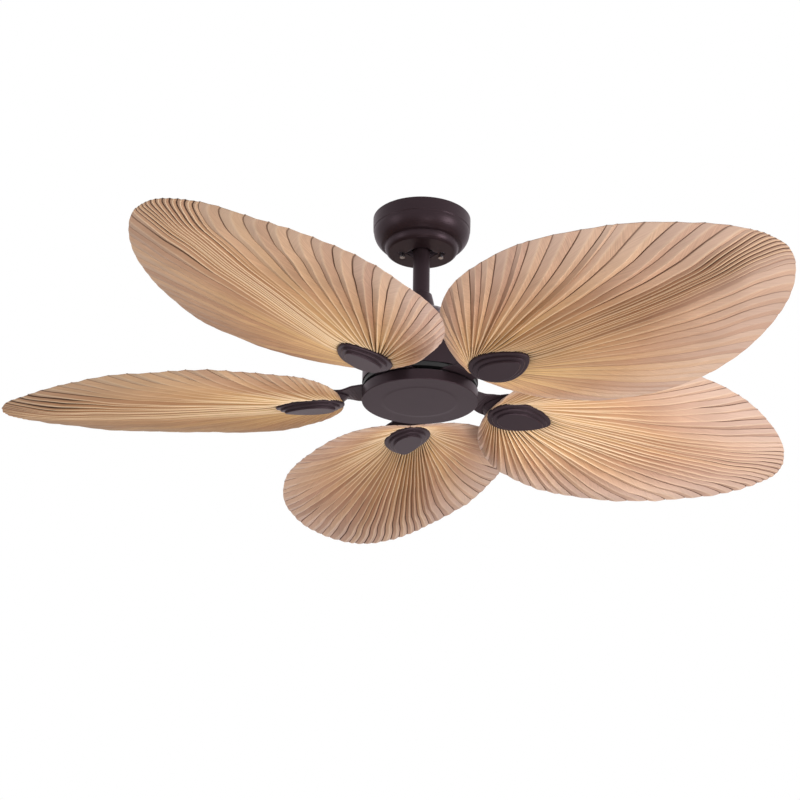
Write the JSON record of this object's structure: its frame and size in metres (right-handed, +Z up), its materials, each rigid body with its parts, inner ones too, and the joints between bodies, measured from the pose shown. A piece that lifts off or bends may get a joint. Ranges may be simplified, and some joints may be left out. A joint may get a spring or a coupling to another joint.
{
  "type": "ceiling fan",
  "caption": "Tropical ceiling fan: bell canopy and short downrod over a drum motor housing, with pleated natural palm leaf blades on bronze arms and stepped oval caps.",
  "frame": {"origin": "centre of the hanger bracket's top face, on the ceiling", "axes": "+Z up along the shaft, into the ceiling; +X along the line of the bracket's two slots; the picture looks along +Y from below"},
  "size_m": [1.2536, 1.243, 0.3333],
  "materials": {
    "bronze_enamel": "satin oil-rubbed bronze enamel",
    "palm_leaf": "dried pleated palm leaf, matte",
    "galvanised_steel": "galvanised sheet",
    "zinc_fastener": "bright zinc",
    "green_fastener": "green dyed screw",
    "black_nylon": "moulded black nylon",
    "cast_iron_yoke": "cast iron, machined bores",
    "ground_steel": "ground steel",
    "lamination_steel": "stacked laminations",
    "copper_winding": "varnished copper wire",
    "capacitor_case": "moulded case",
    "cast_aluminium": "die cast",
    "black_cast_aluminium": "black coated casting"
  },
  "bodies": {
    "ceiling_mount": {"hanger_bracket": "galvanised_steel", "ground_screw": "green_fastener", "canopy": "bronze_enamel", "canopy_screws": "zinc_fastener"},
    "hanging_frame": {"hanger_ball": "black_nylon", "ball_pin": "zinc_fastener", "ball_set_screw": "zinc_fastener", "downrod": "bronze_enamel", "coupling_cover": "bronze_enamel", "motor_yoke": "cast_iron_yoke", "yoke_pin": "zinc_fastener", "pin_clip": "zinc_fastener", "yoke_set_screws": "zinc_fastener", "housing_screws": "zinc_fastener", "motor_housing": "bronze_enamel", "motor_shaft": "ground_steel", "stator_core": "lamination_steel", "stator_windings": "copper_winding", "capacitor": "capacitor_case", "capacitor_strap": "galvanised_steel", "hub_carrier": "galvanised_steel", "shaft_washer": "zinc_fastener", "shaft_nut": "zinc_fastener", "hub_plate": "bronze_enamel"},
    "rotor": {"rotor_upper_shell": "cast_aluminium", "rotor_lower_shell": "cast_aluminium", "rotor_ring": "lamination_steel", "rotor_screws": "zinc_fastener", "upper_bearing": "ground_steel", "lower_bearing": "ground_steel", "retaining_rings": "zinc_fastener", "flywheel": "black_cast_aluminium", "flywheel_screws": "zinc_fastener", "blade_arm_1": "bronze_enamel", "blade_arm_2": "bronze_enamel", "blade_arm_3": "bronze_enamel", "blade_arm_4": "bronze_enamel", "blade_arm_5": "bronze_enamel", "arm_screws": "zinc_fastener", "leaf_1": "palm_leaf", "leaf_2": "palm_leaf", "leaf_3": "palm_leaf", "leaf_4": "palm_leaf", "leaf_5": "palm_leaf", "leaf_cap_1": "bronze_enamel", "leaf_cap_2": "bronze_enamel", "leaf_cap_3": "bronze_enamel", "leaf_cap_4": "bronze_enamel", "leaf_cap_5": "bronze_enamel", "leaf_screws": "zinc_fastener"}
  },
  "joints": [
    {"name": "hanger_tilt", "type": "hinge", "parent": "ceiling_mount", "child": "hanging_frame", "pos_m": [0, 0, -0.036], "axis": [1, 0, 0], "range_deg": [-10, 10]},
    {"name": "rotor_spin", "type": "hinge", "parent": "hanging_frame", "child": "rotor", "pos_m": [0, 0, -0.256], "axis": [0, 0, 1], "continuous": true}
  ]
}
